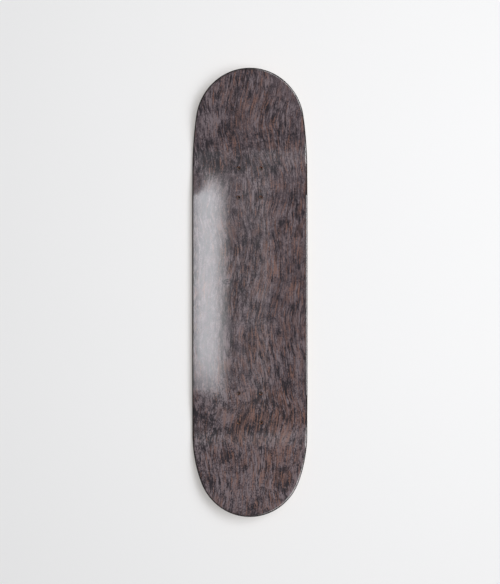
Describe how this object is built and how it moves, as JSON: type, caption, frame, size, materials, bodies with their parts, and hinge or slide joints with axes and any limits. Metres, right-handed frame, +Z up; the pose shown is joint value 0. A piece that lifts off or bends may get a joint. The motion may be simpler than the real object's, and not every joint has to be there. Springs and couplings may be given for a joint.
{
  "type": "skateboard deck",
  "caption": "Bare laminated maple skateboard deck with round nose and tail, upturned kicks, lengthwise concave, bolt holes for two trucks and a stained, lacquered top veneer.",
  "frame": {"origin": "on the flat middle of the underside, halfway along the deck's length and width (the bottom centre of its box)", "axes": "+Y along the deck towards the nose, +X across it, +Z up out of the top face"},
  "size_m": [0.2126, 0.815, 0.0633],
  "materials": {
    "stained_top_veneer": "long-grain curly maple stained plum black under a semi-gloss lacquer",
    "long_grain_core_veneer": "natural maple, lacquered where it shows at the edge",
    "crossband_veneer": "natural maple with its grain across the board, so its end grain shows darker along the edge",
    "natural_bottom_veneer": "plain natural long-grain maple under a semi-gloss lacquer"
  },
  "bodies": {
    "root": {"ply_1_top_face": "stained_top_veneer", "ply_2_upper_core": "long_grain_core_veneer", "ply_3_upper_crossband": "crossband_veneer", "ply_4_centre_core": "long_grain_core_veneer", "ply_5_lower_crossband": "crossband_veneer", "ply_6_lower_core": "long_grain_core_veneer", "ply_7_bottom_face": "natural_bottom_veneer"}
  },
  "joints": []
}
